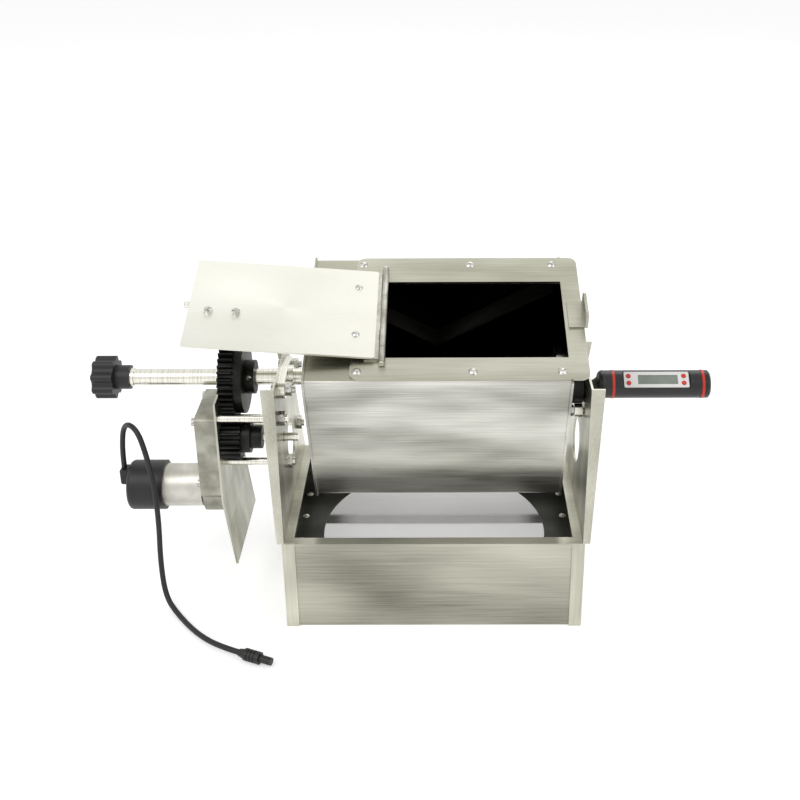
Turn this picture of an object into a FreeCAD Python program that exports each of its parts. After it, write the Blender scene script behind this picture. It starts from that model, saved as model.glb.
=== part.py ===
"""Home coffee bean roaster: a square drum turned over a gas flame by a geared motor.

Millimetres, +Z up, +X towards the thermometer, -Y towards the user.
The origin is the centre of the burner hole, on the underside of the burner plate.
"""
import FreeCAD, Part
import math
import os

V = FreeCAD.Vector

# Base and uprights, folded from one sheet thickness
SHEET = 1.5
BASE_HALF_X = 107.5
BASE_HALF_Y = 69.0
FLOOR_Z = -37.0
RIM_Z = 35.0
LAP_WIDTH = 9.0
FOOT_LIP = 8.0
RIM_WIDTH = 8.0
UPRIGHT_TOP_Z = 142.0
UPRIGHT_TOP_HALF_Y = 39.5
UPRIGHT_SPREAD = 4.6
FLANGE_FOOT = 3.5
FLANGE_TOP = 9.7
SIGHT_HOLE_R = 17.0
SIGHT_HOLE_Y = 8.0
SIGHT_HOLE_Z = 75.0

# Burner plate, its two ledges and their screws
BURNER_HOLE_R = 85.0
HOLE_MARGIN = 6.0
BURNER_PLATE_T = 1.5
PLATE_LIP = 8.0
LEDGE_WIDTH = 12.0
LEDGE_DROP = 12.0
PLATE_SCREW_INSET = 5.0
PLATE_SCREW_Y = (-47.0, -16.0, 16.0, 47.0)

# Drum: a square box that turns about AXIS_Z and rests leaning forward
AXIS_Z = 133.0
DRUM_SIDE = 121.5
DRUM_LEFT = -84.2
DRUM_RIGHT = 91.3
DRUM_SHEET = 1.2
DRUM_TILT = 20.7
DRUM_BEND_R = 2.5
END_PROUD = 1.5
END_T = 1.5

# Mouth frame on the drum's top face; across is the direction from front to back
FRAME_X = (-54.5, 104.0)
FRAME_HALF_ACROSS = 59.5
FRAME_T = 1.5
FRAME_CORNER_R = 6.0
MOUTH_X = (-31.5, 91.0)
MOUTH_ACROSS = (-40.0, 34.0)
FRAME_SCREW_X = (-50.0, 27.0, 86.0)
FRAME_SCREW_ACROSS = 52.5
BACK_SCREW_X = (-39.0, 44.0, 84.0)
BACK_SCREW_DROP = 2.2

# Hinge and lid, drawn closed and swung open about the pin
HINGE_X = -33.3
HINGE_PIN_R = 1.2
KNUCKLE_R = 2.2
KNUCKLE_ENDS = (-47.0, -33.0, -16.0, 16.0, 45.0)
HINGE_LEAF_T = 1.0
LID_OPEN = 174.5
LID_NEAR = 5.0
LID_FAR = 132.5
LID_ACROSS = (-43.8, 40.4)
LID_T = 1.5
LID_LIFT = 1.5
HINGE_LEAF_CLEAR = 0.3
LEAF_REACH_DRUM = 12.0
LEAF_REACH_LID = 23.0
LEAF_END_INSET = 4.0
LID_SCREW_X = 18.4
LID_SCREW_ACROSS = 23.0
LID_NUT_T = 2.0

# Slide bolt on the lid and its keeper on the frame
LATCH_X = (94.0, 127.0)
LATCH_ACROSS = (-15.5, 6.0)
LATCH_PLATE_T = 1.2
LATCH_SCREW_X = (100.3, 118.8)
LATCH_SCREW_ACROSS = -10.4
BOLT_R = 2.4
BOLT_TIP_PAST_LID = 4.4
BOLT_KNOB_X = 110.5
BOLT_KNOB_HEIGHT = 7.0
BOLT_LENGTH_BEHIND = 46.0
KEEPER_FOOT_X = 93.5
KEEPER_T = 1.2
KEEPER_HEIGHT = 11.5
KEEPER_LOOP_X = (104.4, 106.3)
KEEPER_HALF_ACROSS = 12.8

# Mixing vanes, a shallow V on the back wall and its mirror image on the front wall
VANE_LOW_X = 2.8
VANE_LOW_HEIGHT = -14.0
VANE_SLOPE = 0.67
VANE_DEPTH = 16.0
VANE_T = 1.2
VANE_END_GAP = 0.3

# Hollow shaft, gears and left bearing
SHAFT_R = 6.0
SHAFT_BORE_R = 5.0
SHAFT_X = (-217.8, -70.0)
GEAR_MODULE = 1.5
DRIVEN_TEETH = 38
DRIVER_TEETH = 20
GEAR_CLEARANCE = 0.12
BACKLASH = 0.18
MESH_ANGLE = 27.0
GEAR_LEFT = -152.6
DRIVEN_FACE = 10.5
DRIVER_FACE = 14.0
DRIVEN_SHROUD = 6.0
DRIVER_SHROUD = 6.5
DRIVEN_HUB_R = 12.4
DRIVEN_HUB_RIGHT = -129.3
DRIVER_HUB_R = 8.5
DRIVER_HUB_RIGHT = -124.0
DRIVER_SHAFT_R = 3.0
DRIVER_SHAFT_RIGHT = -98.0
BEARING_BOLT_Y = 20.0
BEARING_T = 5.0
BEARING_BOSS_R = 11.0

# Right hub, which rides on two rollers
HUB_R = 20.0
HUB_BORE_R = 11.0
HUB_RIGHT = 108.8
HUB_FLANGE_R = 21.5
HUB_FLANGE_T = 3.0
ROLLER_R = 5.0
ROLLER_ANGLE = 28.0
ROLLER_X = (102.5, 108.3)
ROLLER_GAP = 0.1
ROLLER_BOLT_R = 2.0

# Motor, gearbox and their plate, standing off the left upright
PLATE_RIGHT = -153.4
MOTOR_PLATE_Y = (-35.5, 50.0)
MOTOR_PLATE_TOP = 129.0
MOTOR_PLATE_BEND_Z = 49.0
MOTOR_PLATE_BOTTOM = -6.0
MOTOR_PLATE_LEAN = 7.0
ROD_R = 3.0
ROD_PLACES = ((-30.0, 115.0), (-18.0, 72.6), (40.0, 115.0), (40.0, 72.6))
GEARBOX_T = 15.5
GEARBOX_Y = (-32.0, 17.0)
GEARBOX_TOP = 115.0
GEARBOX_LOWER = 52.0
GEARBOX_NOSE_R = 19.0
MOTOR_Y = -8.0
MOTOR_Z = 46.3
MOTOR_R = 16.0
CAP_R = 18.5
CAP_X = (-228.0, -201.0)

# Sampler in the hollow shaft
KNOB_X = (-246.4, -231.0)
KNOB_R = 14.2
KNOB_LOBE = 1.4
KNOB_LOBES = 8
SAMPLER_HUB_R = 8.8
SAMPLER_HUB_RIGHT = -220.5
FERRULE_R = 7.0
SCOOP_RIGHT = -46.0
RUNNING_FIT = 0.06

# Probe thermometer, which slides out of a guide on the right upright
PROBE_Z = AXIS_Z - 7.0
PROBE_R = 2.0
PROBE_LEFT = -38.0
HANDLE_X = (113.3, 124.7, 201.3)
HANDLE_NECK_R = 3.2
HANDLE_R = 10.2
RING_X = (130.0, 195.0)
RING_T = 1.9
PANEL_X = (138.5, 185.5)
PANEL_T = 0.8
PANEL_HALF = 6.2
DISPLAY_X = (148.6, 177.5)
DISPLAY_HALF = 3.6
FACE_TURN = 41.0
BUTTON_X = (141.8, 181.8)
BUTTON_ACROSS = 2.7
BUTTON_R = 1.6
BUTTON_GAP = 0.15

# Low-voltage lead, whose route is a list of chosen points
CORD_R = 2.0
CORD_ROUTE = (
    (-231.8, -8.0, 61.1), (-231.6, -8.4, 79.0), (-227.0, -10.5, 101.0), (-213.5, -25.5, 104.0),
    (-207.0, -31.0, 84.0), (-204.0, -31.8, 58.0), (-203.6, -32.6, 28.0), (-205.0, -35.5, -4.0),
    (-202.0, -43.0, -30.0), (-190.0, -58.0, -35.0), (-172.0, -79.0, -35.0), (-153.0, -95.5, -32.6),
    (-137.0, -102.0, -32.6),
)
CORD_SHARE = 0.45
CONNECTOR_R = 4.4
CONNECTOR_LENGTH = 26.0


def box(x, y, z):
    """A box between the two values of each pair."""
    size = [high - low for low, high in (x, y, z)]
    return Part.makeBox(*size, V(x[0], y[0], z[0]))


def rod(radius, x0, x1, y, z):
    """A cylinder along X."""
    return Part.makeCylinder(radius, x1 - x0, V(x0, y, z), V(1, 0, 0))


def outline(points):
    return Part.Face(Part.makePolygon([*points, points[0]]))


def plate_yz(points, x0, x1):
    """An outline in Y and Z, extruded along X."""
    return outline([V(x0, y, z) for y, z in points]).extrude(V(x1 - x0, 0, 0))


def plate_xz(points, half_y):
    """An outline in X and Z, extruded to both sides of Y = 0."""
    return outline([V(x, -half_y, z) for x, z in points]).extrude(V(0, 2 * half_y, 0))


def rounded_plate(x, y, z, radius):
    """A flat plate with its four upright corners rounded."""
    plate = box(x, y, z)
    upright = [e for e in plate.Edges if abs(e.Vertexes[0].Z - e.Vertexes[-1].Z) > 1e-6]
    return plate.makeFillet(radius, upright)


def fuse(first, *others):
    return first.fuse(list(others)).removeSplitter()


def cut(shape, *tools):
    return shape.cut(list(tools))


def mirrored(shape):
    """The same piece on the other side of the YZ plane."""
    return shape.mirror(V(0, 0, 0), V(1, 0, 0))


def hexagon(across_flats, x0, x1, y, z):
    """A hexagonal nut or head along X."""
    reach = across_flats / 2 / math.cos(math.radians(30))
    corners = [(y + reach * math.cos(math.radians(60 * k)), z + reach * math.sin(math.radians(60 * k)))
               for k in range(6)]
    return plate_yz(corners, x0, x1)


def dome_screw(x, y, z, head_r, head_h, shank_r, depth):
    """A screw along -Z from the surface at z, with a low dome head above it."""
    ball_r = (head_r ** 2 + head_h ** 2) / (2 * head_h)
    ball = Part.makeSphere(ball_r, V(x, y, z + head_h - ball_r))
    head = ball.common(Part.makeCylinder(head_r + 1, head_h, V(x, y, z)))
    return fuse(head, Part.makeCylinder(shank_r, depth, V(x, y, z - depth)))


# Base and uprights

def spread_at(z):
    """How far an upright has leaned out at height z."""
    return UPRIGHT_SPREAD * (z - RIM_Z) / (UPRIGHT_TOP_Z - RIM_Z)


def inner_x(z):
    """The inner face of the right wall and upright at height z."""
    return BASE_HALF_X - SHEET + max(0.0, spread_at(z))


def side_sheet():
    """Right wall, lapped round both corners, with its upright leaning out above the rim."""
    wall = box((BASE_HALF_X - SHEET, BASE_HALF_X), (-BASE_HALF_Y, BASE_HALF_Y), (FLOOR_Z, RIM_Z))
    laps = [box((BASE_HALF_X - LAP_WIDTH, BASE_HALF_X), (y, y + SHEET), (FLOOR_Z, RIM_Z))
            for y in (-BASE_HALF_Y, BASE_HALF_Y - SHEET)]
    lip = box((BASE_HALF_X - FOOT_LIP, BASE_HALF_X), (-BASE_HALF_Y, BASE_HALF_Y), (FLOOR_Z, FLOOR_Z + SHEET))
    trapezoid = [(-BASE_HALF_Y, RIM_Z), (BASE_HALF_Y, RIM_Z),
                 (UPRIGHT_TOP_HALF_Y, UPRIGHT_TOP_Z), (-UPRIGHT_TOP_HALF_Y, UPRIGHT_TOP_Z)]
    far = BASE_HALF_X + UPRIGHT_SPREAD + FLANGE_TOP + SHEET
    whole = plate_yz(trapezoid, 0, far)
    top_x = BASE_HALF_X + UPRIGHT_SPREAD
    web = plate_xz([(BASE_HALF_X - SHEET, RIM_Z), (BASE_HALF_X, RIM_Z),
                    (top_x, UPRIGHT_TOP_Z), (top_x - SHEET, UPRIGHT_TOP_Z)], BASE_HALF_Y)
    wedge = plate_xz([(BASE_HALF_X - SHEET, RIM_Z), (BASE_HALF_X + FLANGE_FOOT, RIM_Z),
                      (top_x - SHEET + FLANGE_TOP, UPRIGHT_TOP_Z), (top_x - SHEET, UPRIGHT_TOP_Z)], BASE_HALF_Y)
    slope = math.hypot(BASE_HALF_Y - UPRIGHT_TOP_HALF_Y, UPRIGHT_TOP_Z - RIM_Z) / (UPRIGHT_TOP_Z - RIM_Z)
    inset = SHEET * slope
    core = plate_yz([(y - math.copysign(inset, y), z) for y, z in trapezoid], 0, far)
    flanges = wedge.common(whole).cut(core)
    sheet = fuse(wall, *laps, lip, web.common(whole), flanges)
    sight = rod(SIGHT_HOLE_R, 0, far, SIGHT_HOLE_Y, SIGHT_HOLE_Z)
    return cut(sheet, sight)


def left_upright():
    sheet = mirrored(side_sheet())
    reach = -BASE_HALF_X - UPRIGHT_SPREAD - SHEET
    holes = [rod(SHAFT_R + 1.5, reach, 0, 0, AXIS_Z), rod(DRIVER_SHAFT_R + 1, reach, 0, *driver_axis())]
    holes += [rod(3.0, reach, 0, y, AXIS_Z) for y in (-BEARING_BOLT_Y, BEARING_BOLT_Y)]
    holes += [rod(ROD_R, reach, 0, y, z) for y, z in ROD_PLACES]
    return cut(sheet, *holes)


def right_upright():
    reach = BASE_HALF_X + UPRIGHT_SPREAD + SHEET
    holes = [rod(ROLLER_BOLT_R, 0, reach, *place) for place in roller_places()]
    return cut(side_sheet(), rod(PROBE_R + 2, 0, reach, 0, PROBE_Z), *holes)


def front_panel():
    """Front panel behind the laps, with a lip folded in at its foot."""
    half = BASE_HALF_X - SHEET
    face_y = -BASE_HALF_Y + SHEET
    panel = box((-half, half), (face_y, face_y + SHEET), (FLOOR_Z, RIM_Z - SHEET))
    middle = BASE_HALF_X - LAP_WIDTH
    foot = box((-middle, middle), (face_y, face_y + FOOT_LIP), (FLOOR_Z, FLOOR_Z + SHEET))
    return cut(fuse(panel, foot), *foot_corners())


def foot_corners():
    """Room for the foot lips of the two side walls, which cross the panels' ends."""
    reach = BASE_HALF_X - FOOT_LIP
    return [box(x, (-BASE_HALF_Y, BASE_HALF_Y), (FLOOR_Z, FLOOR_Z + SHEET))
            for x in ((-BASE_HALF_X, -reach), (reach, BASE_HALF_X))]


def base_rim():
    """Flat rail round the top of the base, inside the side walls."""
    half = BASE_HALF_X - SHEET
    outer = box((-half, half), (-BASE_HALF_Y + SHEET, BASE_HALF_Y - SHEET), (RIM_Z - SHEET, RIM_Z))
    middle = BASE_HALF_X - LAP_WIDTH
    nose = box((-middle, middle), (-BASE_HALF_Y, BASE_HALF_Y), (RIM_Z - SHEET, RIM_Z))
    hole_x = BASE_HALF_X - RIM_WIDTH
    hole_y = BASE_HALF_Y - RIM_WIDTH
    return cut(fuse(outer, nose), box((-hole_x, hole_x), (-hole_y, hole_y), (FLOOR_Z, UPRIGHT_TOP_Z)))


def burner_plate():
    """Dark plate with the round burner hole, its four edges folded down."""
    half_x = BASE_HALF_X - SHEET
    half_y = BASE_HALF_Y - 2 * SHEET
    plate = box((-half_x, half_x), (-half_y, half_y), (0, BURNER_PLATE_T))
    lips = [box((-half_x + LEDGE_WIDTH, half_x - LEDGE_WIDTH), (y, y + BURNER_PLATE_T), (-PLATE_LIP, 0))
            for y in (-half_y, half_y - BURNER_PLATE_T)]
    hole = Part.makeCylinder(BURNER_HOLE_R, 10, V(0, 0, -5))
    opening = hole.common(box((-half_x, half_x), (-half_y + HOLE_MARGIN, half_y - HOLE_MARGIN), (-5, 5)))
    screws = [Part.makeCylinder(1.6, 10, V(x, y, -5)) for x, y in plate_screw_places()]
    return cut(fuse(plate, *lips), opening, *screws)


def plate_screw_places():
    x = BASE_HALF_X - SHEET - PLATE_SCREW_INSET
    return [(side * x, y) for side in (-1, 1) for y in PLATE_SCREW_Y]


def plate_ledges():
    """Two angle strips on the side walls that carry the burner plate."""
    half_x = BASE_HALF_X - SHEET
    half_y = BASE_HALF_Y - 2 * SHEET - HOLE_MARGIN
    shelf = box((half_x - LEDGE_WIDTH, half_x), (-half_y, half_y), (-SHEET, 0))
    leg = box((half_x - SHEET, half_x), (-half_y, half_y), (-LEDGE_DROP, 0))
    holes = [Part.makeCylinder(1.6, 10, V(x, y, -5)) for x, y in plate_screw_places() if x > 0]
    right = cut(fuse(shelf, leg), *holes)
    return Part.makeCompound([right, mirrored(right)])


def plate_screws():
    """Dome screws down through the burner plate and its ledges."""
    return Part.makeCompound([dome_screw(x, y, BURNER_PLATE_T, 2.8, 1.4, 1.5, 6.0)
                              for x, y in plate_screw_places()])


# Left bearing, motor and its plate

def shaft_bearing():
    """Two-bolt flange bearing on the inner face of the left upright."""
    inner = -inner_x(AXIS_Z)
    ears = [rod(6.5, inner - 3, inner + BEARING_T, y, AXIS_Z) for y in (-BEARING_BOLT_Y, BEARING_BOLT_Y)]
    reach = BEARING_BOLT_Y
    bridge = plate_yz([(-reach, AXIS_Z - 6.5), (0, AXIS_Z - 11.0), (reach, AXIS_Z - 6.5),
                       (reach, AXIS_Z + 6.5), (0, AXIS_Z + 8.5), (-reach, AXIS_Z + 6.5)],
                      inner - 3, inner + BEARING_T)
    boss = rod(BEARING_BOSS_R - 2.5, inner, inner + BEARING_T + 4, 0, AXIS_Z)
    body = fuse(bridge, *ears, boss)
    bores = [rod(SHAFT_R + RUNNING_FIT, inner - 20, inner + 30, 0, AXIS_Z)]
    bores += [rod(2.6, inner - 20, inner + 30, y, AXIS_Z) for y in (-BEARING_BOLT_Y, BEARING_BOLT_Y)]
    return cut(body, left_blank(), *bores)


def left_blank():
    """Everything from the inner face of the left upright outwards, to seat pieces on the lean."""
    return mirrored(plate_xz([(inner_x(RIM_Z), RIM_Z), (200, RIM_Z), (200, UPRIGHT_TOP_Z + 30),
                              (inner_x(UPRIGHT_TOP_Z + 30), UPRIGHT_TOP_Z + 30)], BASE_HALF_Y))


def bearing_bolts():
    """Bolts through the bearing and the upright, heads outside and nuts inside."""
    inner = -inner_x(AXIS_Z)
    pieces = []
    for y in (-BEARING_BOLT_Y, BEARING_BOLT_Y):
        nut = hexagon(8.0, inner + BEARING_T, inner + BEARING_T + 4.5, y, AXIS_Z)
        shank = rod(2.5, inner - SHEET - 0.6, inner + BEARING_T + 7, y, AXIS_Z)
        head = rod(4.3, inner - SHEET - 3.6, inner - SHEET - 0.6, y, AXIS_Z)
        pieces.append(fuse(shank, nut, head))
    return Part.makeCompound(pieces)


def driver_axis():
    """Y and Z of the driver gear's axis, in mesh with the driven gear."""
    reach = GEAR_MODULE * (DRIVEN_TEETH + DRIVER_TEETH) / 2 + GEAR_CLEARANCE
    turn = math.radians(MESH_ANGLE)
    return -reach * math.sin(turn), AXIS_Z - reach * math.cos(turn)


def motor_plate():
    """Sheet that carries the gearbox; its lower part bends in under the gears as a heat shield."""
    front, back = MOTOR_PLATE_Y
    left = PLATE_RIGHT - SHEET
    drop = MOTOR_PLATE_BEND_Z - MOTOR_PLATE_BOTTOM
    shift = drop * math.tan(math.radians(MOTOR_PLATE_LEAN))
    side = [(left, MOTOR_PLATE_TOP), (PLATE_RIGHT, MOTOR_PLATE_TOP), (PLATE_RIGHT, MOTOR_PLATE_BEND_Z),
            (PLATE_RIGHT + shift, MOTOR_PLATE_BOTTOM), (left + shift, MOTOR_PLATE_BOTTOM),
            (left, MOTOR_PLATE_BEND_Z)]
    sheet = outline([V(x, front, z) for x, z in side]).extrude(V(0, back - front, 0))
    holes = [rod(ROD_R, left - 1, PLATE_RIGHT + 1, y, z) for y, z in ROD_PLACES]
    shaft = rod(DRIVER_SHAFT_R + 1, left - 1, PLATE_RIGHT + 1, *driver_axis())
    relief = rod(SHAFT_R + 6, left - 1, PLATE_RIGHT + 1, 0, AXIS_Z)
    return cut(sheet, *holes, shaft, relief)


def standoff_rods():
    """Four rods from the motor plate through the left upright."""
    left = PLATE_RIGHT - SHEET - 4.5
    return Part.makeCompound([rod(ROD_R - 0.05, left if y > GEARBOX_Y[1] + 5 else PLATE_RIGHT - SHEET,
                                  -inner_x(z) + 6.0, y, z) for y, z in ROD_PLACES])


def standoff_nuts():
    """Nuts inside the upright, and outside the motor plate where the gearbox leaves room."""
    pieces = []
    for y, z in ROD_PLACES:
        inner = -inner_x(z)
        pieces.append(cut(hexagon(9.0, inner - 1, inner + 4.2, y, z), left_blank(),
                          rod(ROD_R, inner - 5, inner + 10, y, z)))
        if y > GEARBOX_Y[1] + 5:
            left = PLATE_RIGHT - SHEET
            pieces.append(cut(hexagon(9.0, left - 4.0, left, y, z), rod(ROD_R, left - 9, left + 1, y, z)))
    return Part.makeCompound(pieces)


def gearbox():
    """Pear-shaped gear housing: straight above, round about the motor below."""
    right = PLATE_RIGHT - SHEET
    left = right - GEARBOX_T
    front, back = GEARBOX_Y
    upper = plate_yz([(front, GEARBOX_TOP), (back, GEARBOX_TOP), (back, GEARBOX_LOWER),
                      (MOTOR_Y + GEARBOX_NOSE_R - 1, MOTOR_Z), (MOTOR_Y - GEARBOX_NOSE_R + 1, MOTOR_Z),
                      (front, GEARBOX_LOWER)], left, right)
    nose = rod(GEARBOX_NOSE_R, left, right, MOTOR_Y, MOTOR_Z)
    body = fuse(upper, nose)
    long_edges = [e for e in body.Edges
                  if abs(e.Vertexes[0].X - e.Vertexes[-1].X) > GEARBOX_T - 0.1
                  and abs(e.CenterOfMass.z - GEARBOX_TOP) < 0.1]
    body = body.makeFillet(2.5, long_edges)
    seat = rod(DRIVER_SHAFT_R + 1, right - 5, right + 1, *driver_axis())
    return cut(body, seat, *[rod(1.5, left - 1, left + 6, y, z) for y, z in gearbox_screw_places()])


def gearbox_screw_places():
    front, back = GEARBOX_Y
    inset = 4.0
    return [(front + inset, GEARBOX_TOP - inset), (back - inset, GEARBOX_TOP - inset),
            (front + inset, GEARBOX_LOWER + 8), (back - inset, GEARBOX_LOWER + 8)]


def gearbox_screws():
    left = PLATE_RIGHT - SHEET - GEARBOX_T
    return Part.makeCompound([fuse(rod(1.45, left, left + 5, y, z), rod(3.0, left - 2.2, left, y, z))
                              for y, z in gearbox_screw_places()])


def motor_can():
    """Satin motor can with a stepped neck at the gearbox."""
    right = PLATE_RIGHT - SHEET - GEARBOX_T
    can = rod(MOTOR_R, CAP_X[1], right - 2, MOTOR_Y, MOTOR_Z)
    neck = rod(MOTOR_R - 4, right - 2, right, MOTOR_Y, MOTOR_Z)
    return fuse(can, neck)


def motor_cap():
    """Black end cap, rounded at its closed end."""
    cap = rod(CAP_R, *CAP_X, MOTOR_Y, MOTOR_Z)
    rim = [e for e in cap.Edges if abs(e.CenterOfMass.x - CAP_X[0]) < 0.01 and len(e.Vertexes) == 1]
    return cap.makeFillet(3.5, rim)


def cord_grommet():
    """Elbow grommet on the cap's end; the lead leaves it upwards."""
    x, y, z = CORD_ROUTE[0]
    block = box((CAP_X[0] - 7.0, CAP_X[0]), (y - 4.5, y + 4.5), (z - 12.0, z - 0.1))
    edges = [e for e in block.Edges if abs(e.CenterOfMass.x - (CAP_X[0] - 7.0)) < 0.01]
    return block.makeFillet(2.0, edges)


# Gears

def involute(base_r, radius):
    """Angle, in radians, that an involute has turned by when it reaches a radius."""
    if radius <= base_r:
        return 0.0
    run = math.sqrt((radius / base_r) ** 2 - 1)
    return run - math.atan(run)


def gear_teeth(teeth, x0, x1, y, z, phase):
    """Spur gear blank with involute teeth; phase is the first tooth's angle from +Y."""
    pitch_r = GEAR_MODULE * teeth / 2
    base_r = pitch_r * math.cos(math.radians(20))
    tip_r = pitch_r + 0.95 * GEAR_MODULE
    root_r = pitch_r - 1.2 * GEAR_MODULE
    half = (math.pi * GEAR_MODULE / 2 - BACKLASH) / 2 / pitch_r + involute(base_r, pitch_r)
    start_r = max(base_r, root_r)
    radii = [start_r + (tip_r - start_r) * step / 3 for step in range(4)]
    flank = [(radius, half - involute(base_r, radius)) for radius in radii]
    if root_r < start_r:
        flank.insert(0, (root_r, half))
    points = []
    for tooth in range(teeth):
        middle = phase + 2 * math.pi * tooth / teeth
        sides = [(r, middle - a) for r, a in flank] + [(r, middle + a) for r, a in reversed(flank)]
        points += [(y + r * math.cos(a), z + r * math.sin(a)) for r, a in sides]
    return plate_yz(points, x0, x1)


def mesh_direction():
    """Angle from +Y of the line from the drum's axis to the driver's axis."""
    return math.radians(-90 - MESH_ANGLE)


def driven_gear():
    """Large gear on the hollow shaft: teeth, a plain shroud and a hub."""
    teeth = gear_teeth(DRIVEN_TEETH, GEAR_LEFT, GEAR_LEFT + DRIVEN_FACE, 0, AXIS_Z, mesh_direction())
    pitch_r = GEAR_MODULE * DRIVEN_TEETH / 2
    shroud_left = GEAR_LEFT + DRIVEN_FACE
    shroud = rod(pitch_r - 2.0, shroud_left, shroud_left + DRIVEN_SHROUD, 0, AXIS_Z)
    hub = rod(DRIVEN_HUB_R, shroud_left, DRIVEN_HUB_RIGHT, 0, AXIS_Z)
    screw = Part.makeCylinder(1.8, 20, V((shroud_left + DRIVEN_SHROUD + DRIVEN_HUB_RIGHT) / 2, 0, AXIS_Z),
                              V(0, -1, 0.4))
    return cut(fuse(teeth, shroud, hub), rod(SHAFT_R, -200, -100, 0, AXIS_Z), screw)


def driver_gear():
    """Small gear, its shroud and hub on the gearbox's output shaft, which runs on into the upright."""
    y, z = driver_axis()
    phase = mesh_direction() + math.pi + math.pi / DRIVER_TEETH
    teeth = gear_teeth(DRIVER_TEETH, GEAR_LEFT, GEAR_LEFT + DRIVER_FACE, y, z, phase)
    pitch_r = GEAR_MODULE * DRIVER_TEETH / 2
    shroud_left = GEAR_LEFT + DRIVER_FACE
    shroud = rod(pitch_r - 3.5, shroud_left, shroud_left + DRIVER_SHROUD, y, z)
    hub = rod(DRIVER_HUB_R, shroud_left, DRIVER_HUB_RIGHT, y, z)
    return cut(fuse(teeth, shroud, hub), rod(DRIVER_SHAFT_R, -200, -90, y, z))


def driver_shaft():
    y, z = driver_axis()
    return rod(DRIVER_SHAFT_R, PLATE_RIGHT - SHEET - 4.0, DRIVER_SHAFT_RIGHT, y, z)


# Drum, built level and tilted when it is written out

def drum_top(height=0.0):
    """Height of a level on or above the drum's top face."""
    return AXIS_Z + DRUM_SIDE / 2 + height


def drum_wrap():
    """Four walls folded from one sheet, open at the mouth."""
    half = DRUM_SIDE / 2
    outer = box((DRUM_LEFT, DRUM_RIGHT), (-half, half), (AXIS_Z - half, AXIS_Z + half))
    outer = outer.makeFillet(DRUM_BEND_R, long_edges(outer))
    inside = half - DRUM_SHEET
    inner = box((DRUM_LEFT, DRUM_RIGHT), (-inside, inside), (AXIS_Z - inside, AXIS_Z + inside))
    inner = inner.makeFillet(DRUM_BEND_R - DRUM_SHEET, long_edges(inner))
    mouth = box(MOUTH_X, MOUTH_ACROSS, (AXIS_Z, AXIS_Z + 2 * half))
    holes = [Part.makeCylinder(1.5, 10, V(x, y, drum_top(-5))) for x, y in frame_screw_places()]
    holes += [Part.makeCylinder(1.5, 10, V(x, half - 5, drum_top(-BACK_SCREW_DROP)), V(0, 1, 0))
              for x in BACK_SCREW_X]
    return cut(outer, inner, mouth, *holes)


def long_edges(shape):
    return [e for e in shape.Edges if abs(e.Vertexes[0].X - e.Vertexes[-1].X) > 1]


def drum_end(x, bore):
    """Square end plate that stands proud of the walls, flush where the mouth frame lies."""
    half = DRUM_SIDE / 2 + END_PROUD
    plate = box((x, x + END_T), (-half, half), (AXIS_Z - half, AXIS_Z + half))
    plate = plate.makeFillet(DRUM_BEND_R, long_edges(plate))
    above = box(FRAME_X, (-half, half), (drum_top(), drum_top(END_PROUD)))
    return cut(plate, above, rod(bore, x - 1, x + END_T + 1, 0, AXIS_Z))


def frame_screw_places():
    return [(x, side * FRAME_SCREW_ACROSS) for side in (-1, 1) for x in FRAME_SCREW_X]


def mouth_frame():
    """Flat frame screwed round the mouth; it overhangs the drum's right end."""
    half = FRAME_HALF_ACROSS
    plate = rounded_plate(FRAME_X, (-half, half), (drum_top(), drum_top(FRAME_T)), FRAME_CORNER_R)
    mouth = box(MOUTH_X, MOUTH_ACROSS, (drum_top(-1), drum_top(FRAME_T + 1)))
    holes = [Part.makeCylinder(1.5, 10, V(x, y, drum_top(-5))) for x, y in frame_screw_places()]
    return cut(plate, mouth, *holes)


def frame_screws():
    return Part.makeCompound([dome_screw(x, y, drum_top(FRAME_T), 3.2, 1.5, 1.45, 5.0)
                              for x, y in frame_screw_places()])


def back_screws():
    """Dome screws along the top of the drum's back wall."""
    screws = []
    for x in BACK_SCREW_X:
        screw = dome_screw(x, 0, 0, 2.4, 1.8, 1.45, 4.0)
        screw.rotate(V(x, 0, 0), V(1, 0, 0), -90)
        screw.translate(V(0, DRUM_SIDE / 2, drum_top(-BACK_SCREW_DROP)))
        screws.append(screw)
    return Part.makeCompound(screws)


def vane_pair(side):
    """Two vanes that fall to one low point along the front (-1) or back (1) wall."""
    wall = DRUM_SIDE / 2 - DRUM_SHEET
    reach = (wall - VANE_DEPTH, wall) if side > 0 else (-wall, -wall + VANE_DEPTH)
    low = AXIS_Z + VANE_LOW_HEIGHT
    ends = (DRUM_LEFT + VANE_END_GAP, DRUM_RIGHT - HUB_FLANGE_T - VANE_END_GAP)
    rises = [low + VANE_SLOPE * abs(x - VANE_LOW_X) for x in ends]
    edge = [(ends[0], rises[0]), (VANE_LOW_X, low), (ends[1], rises[1])]
    lift = VANE_T * math.hypot(1, VANE_SLOPE)
    points = edge + [(x, z + lift) for x, z in reversed(edge)]
    return outline([V(x, reach[0], z) for x, z in points]).extrude(V(0, VANE_DEPTH, 0))


def drum_shaft():
    """Hollow shaft from the ferrule to just inside the drum's left end."""
    return cut(rod(SHAFT_R, *SHAFT_X, 0, AXIS_Z), rod(SHAFT_BORE_R, SHAFT_X[0] - 1, SHAFT_X[1] + 1, 0, AXIS_Z))


def drum_hub():
    """Black hub on the drum's right end, bored for the probe."""
    hub = rod(HUB_R, DRUM_RIGHT + END_T, HUB_RIGHT, 0, AXIS_Z)
    rim = [e for e in hub.Edges if abs(e.CenterOfMass.x - HUB_RIGHT) < 0.01 and len(e.Vertexes) == 1]
    return cut(hub.makeChamfer(1.0, rim), rod(HUB_BORE_R, DRUM_RIGHT, HUB_RIGHT + 1, 0, AXIS_Z))


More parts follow.
